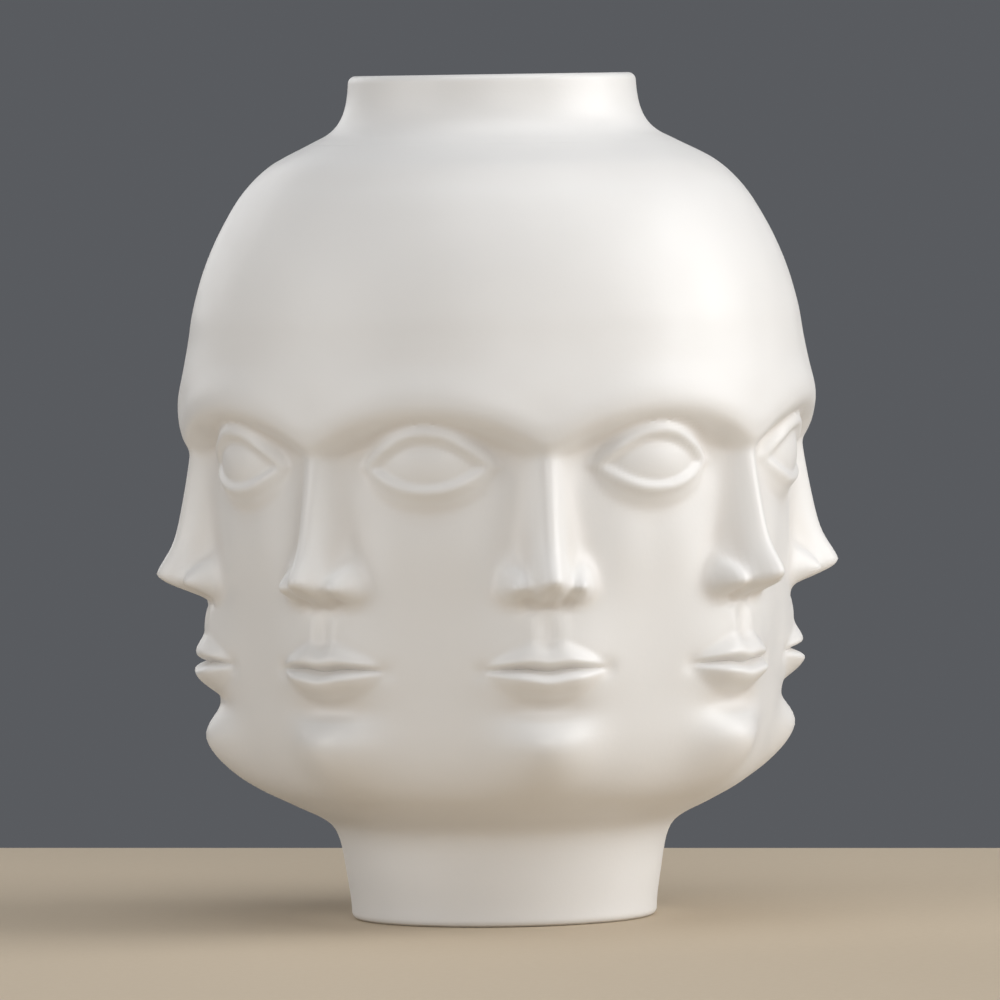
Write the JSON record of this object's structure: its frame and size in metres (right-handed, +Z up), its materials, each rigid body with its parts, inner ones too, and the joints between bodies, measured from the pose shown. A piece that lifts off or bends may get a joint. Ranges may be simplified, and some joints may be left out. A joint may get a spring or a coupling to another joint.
{
  "type": "face vase",
  "caption": "White porcelain vase whose round body is a ring of calm relief heads under a smooth dome, with a short open neck and a plain foot.",
  "frame": {"origin": "middle of the foot, on the table", "axes": "+Z up along the vase's axis; one head looks along -Y and the heads follow every 45 degrees"},
  "size_m": [0.2296, 0.2296, 0.28],
  "materials": {
    "satin_porcelain": "satin white porcelain with a soft sheen and a slightly uneven surface",
    "bare_biscuit": "unglazed matt biscuit, fine turning marks",
    "gloss_glaze": "clear gloss glaze on white porcelain"
  },
  "bodies": {
    "root": {"head_ring": "satin_porcelain", "neck_collar": "satin_porcelain", "foot_ring": "satin_porcelain", "base_disc": "bare_biscuit", "glaze_lining": "gloss_glaze"}
  },
  "joints": []
}
